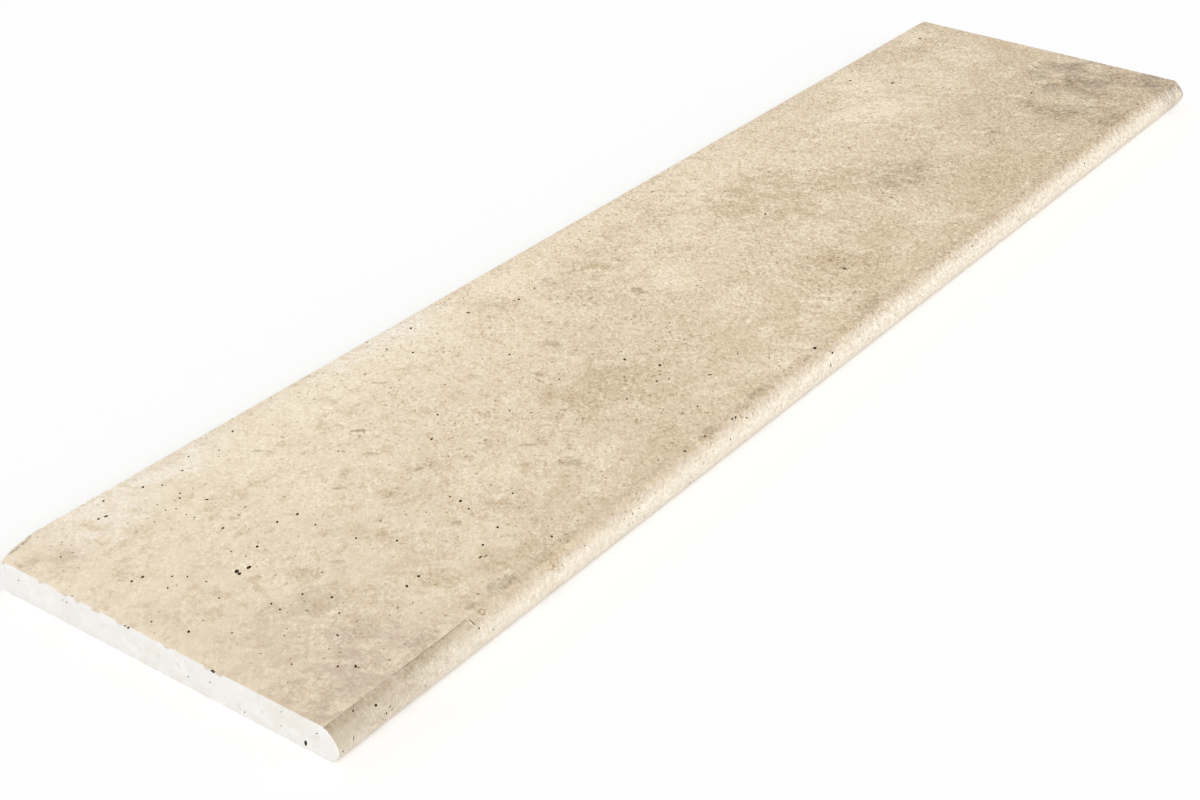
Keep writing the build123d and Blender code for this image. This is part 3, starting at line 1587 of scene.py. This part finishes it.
    def _speckle(self, paint: Paint, slab: Slab) -> None:
        """Lays the grain, drawn coarser than the real crystals so that it shows, and the specks.

        The near end is the smoothest, so most of them gather strength further along the tread.

        Args:
            paint: the paint of the finish.
            slab: the slab that it goes on.
        """
        grain = {
            "roughness": 0.9, "stretch": (1, 1.4, 1), "turn": self.bedding, "place": paint.place
        }
        paint.vary(paint.noise(6, 4, **grain), 0.34)
        patchy = paint.between(paint.noise(28), 0.3, 0.65, 0.54)
        paint.vary(paint.noise(2.2, 2, **grain), paint.both(patchy, paint.rise(Axis.X, -700, -500)))
        paint.vary(paint.noise(3, 3, **grain), paint.rise(Axis.X, -650, 200, 0.6))
        top = slab.high.z / MM
        on_top = paint.rise(Axis.Z, top - 3, top - 0.3)
        crystals = paint.between(paint.noise(2.4, 2, **grain), 0.57, 0.66)
        paint.mark(paint.both(crystals, on_top, paint.rise(Axis.X, -900, -300)), 0.78)
        clusters = paint.between(paint.noise(30), 0.36, 0.6)
        dust = paint.between(paint.noise(2.8, 1, **grain), 0.64, 0.71)
        paint.mark(paint.both(dust, clusters, paint.rise(Axis.X, -600, -250)), 1.6)
        # pores deepened and pinholes laid as dark specks: partly dirt in them, partly painted shade
        # in holes too small to model
        pores = paint.flecks(7, 1.7, 0.2, level=True)
        beds = paint.between(paint.noise(20), 0.4, 0.6)
        paint.mark(paint.both(pores, beds, on_top), 2.2)
        paint.lay(self.pinhole, paint.flecks(10, 1.4, 0.22))


@dataclass(frozen=True)
class CutTravertine:
    """The faces straight from the saw: travertine with fine grooves and a bloom of stone dust.

    The dust makes them paler and duller than the honed faces, and the grooves run with the blade.
    They are drawn coarser than the real ones, so that they show. The ends' near-white base is partly
    painted light.
    """

    name: str
    base: str
    pale: str = "FDFBF8"
    warm: str = "EEE7DD"
    tan: str = "DCCDB8"
    blade: tuple[float, float, float] = (1, 1, 1)

    def make(self) -> bpy.types.Material:
        """Makes the material.

        Returns:
            The material.
        """
        paint = Paint(self.name, self.base, stir_size=30, stir_reach=6)
        paint.patches(self.warm, 34, 0.48, 0.7, 0.6)
        paint.patches(self.pale, 14, 0.5, 0.68, 0.7)
        paint.patches(self.tan, 8, 0.6, 0.78, 0.5)
        paint.patches(self.warm, 1.6, 0.5, 0.75, 0.5)
        paint.lay(self.tan, paint.flecks(7, 1.4, 0.3, 0.6))
        grooves = paint.noise(1.1, stretch=self.blade)
        paint.lay(self.warm, paint.between(grooves, 0.5, 0.75, 0.35))
        grain = paint.noise(0.9)
        return paint.finish(paint.rough(grain, 0.75, 0.95), [(grooves, 0.12), (grain, 0.06)])


@dataclass(frozen=True)
class PitGrimeAndShade:
    """The lining of the open pits: calcite stained brown by iron and packed with grime, darkened
    further as painted shade deep in the pits.
    """

    base: str = "574630"
    dark: str = "2F2516"
    light: str = "8B7653"

    def make(self) -> bpy.types.Material:
        """Makes the material.

        Returns:
            The material.
        """
        paint = Paint("pit_grime_and_shade", self.base, stir_size=6, stir_reach=1)
        paint.patches(self.light, 2.2, 0.52, 0.7, 0.7)
        paint.patches(self.dark, 1.4, 0.5, 0.66, 0.8)
        grain = paint.noise(0.5)
        return paint.finish(paint.rough(grain, 0.65, 1.0), [(grain, 0.16)])


@dataclass(frozen=True)
class BrokenTravertine:
    """The broken corner and the chips: rough crystals, paler than the faces and not yet worn."""

    base: str = "E9DDC8"
    pale: str = "FAF5EB"
    tan: str = "CBB797"

    def make(self) -> bpy.types.Material:
        """Makes the material.

        Returns:
            The material.
        """
        paint = Paint("broken_travertine", self.base, stir_size=10, stir_reach=3)
        paint.patches(self.tan, 7, 0.52, 0.72, 0.7)
        paint.patches(self.pale, 3, 0.52, 0.68, 0.8)
        paint.patches(self.tan, 1.2, 0.54, 0.72, 0.6)
        grain = paint.noise(1.3, 5)
        return paint.finish(paint.rough(grain, 0.7, 1.0), [(grain, 0.8)])


@dataclass(frozen=True)
class Lamp:
    """A far lamp, with its strength, how wide it looks, and where it stands, in degrees."""

    name: str
    strength: float
    width: float
    azimuth: float
    height: float


@dataclass
class Studio:
    """The floor, the lamps, the white background and the camera."""

    floor_size: float = 16.0
    floor_colour: str = "F2F2F2"
    white: str = "FFFFFF"
    floor_glow: float = 0.14
    soft_light: float = 0.618
    lamps: tuple[Lamp, ...] = (
        Lamp("key_lamp", 1.3, width=40, azimuth=218, height=40),
        Lamp("fill_lamp", 0.45, width=60, azimuth=310, height=30),
    )
    lamp_place: Vector = field(default_factory=lambda: Vector((0, 0, 2)))
    camera_place: Vector = field(default_factory=lambda: Vector((-1209.9, -738.5, 723.4)) * MM)
    camera_aim: Vector = field(default_factory=lambda: Vector((-225.4, -44.5, 21.5)) * MM)
    camera_roll: float = radians(0.95)
    lens: float = 60.65
    view_depth: float = 50.0

    def build(self) -> None:
        """Sets the whole studio up, under the plain view transform."""
        self._lay_floor()
        self._light()
        self._place_camera()
        bpy.context.scene.view_settings.view_transform = "Standard"

    def _background_rays(self, tree: bpy.types.NodeTree) -> Output:
        """Makes a mask of the rays that show the background, seen straight or in a gloss.

        Args:
            tree: the tree that the mask is used in.

        Returns:
            The mask.
        """
        path = add_node(tree, "ShaderNodeLightPath").outputs
        mask = path["Is Camera Ray"]
        for kind in ("Is Glossy Ray", "Is Transmission Ray"):
            mask = add_node(
                tree, "ShaderNodeMath", {0: mask, 1: path[kind]}, operation="MAXIMUM"
            ).outputs[0]
        return mask

    def _lay_floor(self) -> None:
        """Lays a plain floor under the tread, which shows white where no shadow falls."""
        bpy.ops.mesh.primitive_plane_add(size=self.floor_size, location=(0, 0, 0))
        floor = bpy.context.object
        floor.name = "studio_floor"
        material = bpy.data.materials.new("matt_white_floor")
        material.use_nodes = True
        tree = material.node_tree
        tree.nodes.clear()
        matt = add_node(tree, "ShaderNodeBsdfDiffuse", {"Color": linear(self.floor_colour)})
        seen = add_node(
            tree,
            "ShaderNodeMath",
            {0: self._background_rays(tree), 1: self.floor_glow},
            operation="MULTIPLY",
        )
        glow = add_node(
            tree, "ShaderNodeEmission", {"Color": linear(self.white), "Strength": seen.outputs[0]}
        )
        total = add_node(tree, "ShaderNodeAddShader", {0: matt.outputs[0], 1: glow.outputs[0]})
        add_node(tree, "ShaderNodeOutputMaterial", {"Surface": total.outputs[0]})
        floor.data.materials.append(material)

    def _light(self) -> None:
        """Lights the tread softly from all round, with more from the front left."""
        world = bpy.data.worlds.new("studio")
        bpy.context.scene.world = world
        world.use_nodes = True
        tree = world.node_tree
        tree.nodes.clear()
        white = linear(self.white)
        soft = add_node(
            tree, "ShaderNodeBackground", {"Color": white, "Strength": self.soft_light}
        )
        seen = add_node(tree, "ShaderNodeBackground", {"Color": white, "Strength": 1.0})
        shown = add_node(
            tree,
            "ShaderNodeMixShader",
            {0: self._background_rays(tree), 1: soft.outputs[0], 2: seen.outputs[0]},
        )
        add_node(tree, "ShaderNodeOutputWorld", {"Surface": shown.outputs[0]})
        for lamp in self.lamps:
            bpy.ops.object.light_add(type="SUN", location=self.lamp_place)
            light = bpy.context.object
            light.name = lamp.name
            light.data.energy = lamp.strength
            light.data.angle = radians(lamp.width)
            azimuth, height = radians(lamp.azimuth), radians(lamp.height)
            level = Vector((cos(azimuth), sin(azimuth), 0))
            towards = level * cos(height) + Vector((0, 0, sin(height)))
            light.rotation_euler = towards.to_track_quat("Z", "Y").to_euler()

    def _place_camera(self) -> None:
        """Looks at the tread from the left front, from about 30 degrees above it."""
        bpy.ops.object.camera_add(location=self.camera_place)
        camera = bpy.context.object
        turn = (self.camera_aim - self.camera_place).to_track_quat("-Z", "Y").to_matrix()
        roll = Matrix.Rotation(self.camera_roll, 3, "Z")
        camera.rotation_euler = (turn @ roll).to_euler()
        camera.data.lens = self.lens
        camera.data.clip_end = self.view_depth
        bpy.context.scene.camera = camera


def main() -> None:
    """Builds the tread and its studio, in order, and reports each piece."""
    slab = Slab(*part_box("tread_slab"))
    finishes = {
        Finish.HONED: HonedTravertine().make(slab),
        # the ends' near-white base is partly their sawn dust, partly painted light as from the
        # strong light on the left end
        Finish.CROSS_CUT: CutTravertine("cross_cut_travertine_and_painted_light", "F5F3EF", blade=(1, 12, 1)).make(),
        Finish.SAWN: CutTravertine(
            "sawn_travertine", "E9DDC9", "F4ECDE", "DCCBB2", "CDB999", blade=(30, 1, 1)
        ).make(),
        Finish.LINING: PitGrimeAndShade().make(),
        Finish.BROKEN: BrokenTravertine().make(),
    }
    stone = Tread(slab, finishes).build()
    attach(stone, "root")
    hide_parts("tread_slab")
    log.info("%s: %d faces", stone.name, len(stone.data.polygons))
    Studio().build()


if __name__ == "__main__":
    logging.basicConfig(level=logging.INFO, format="%(message)s")
    main()
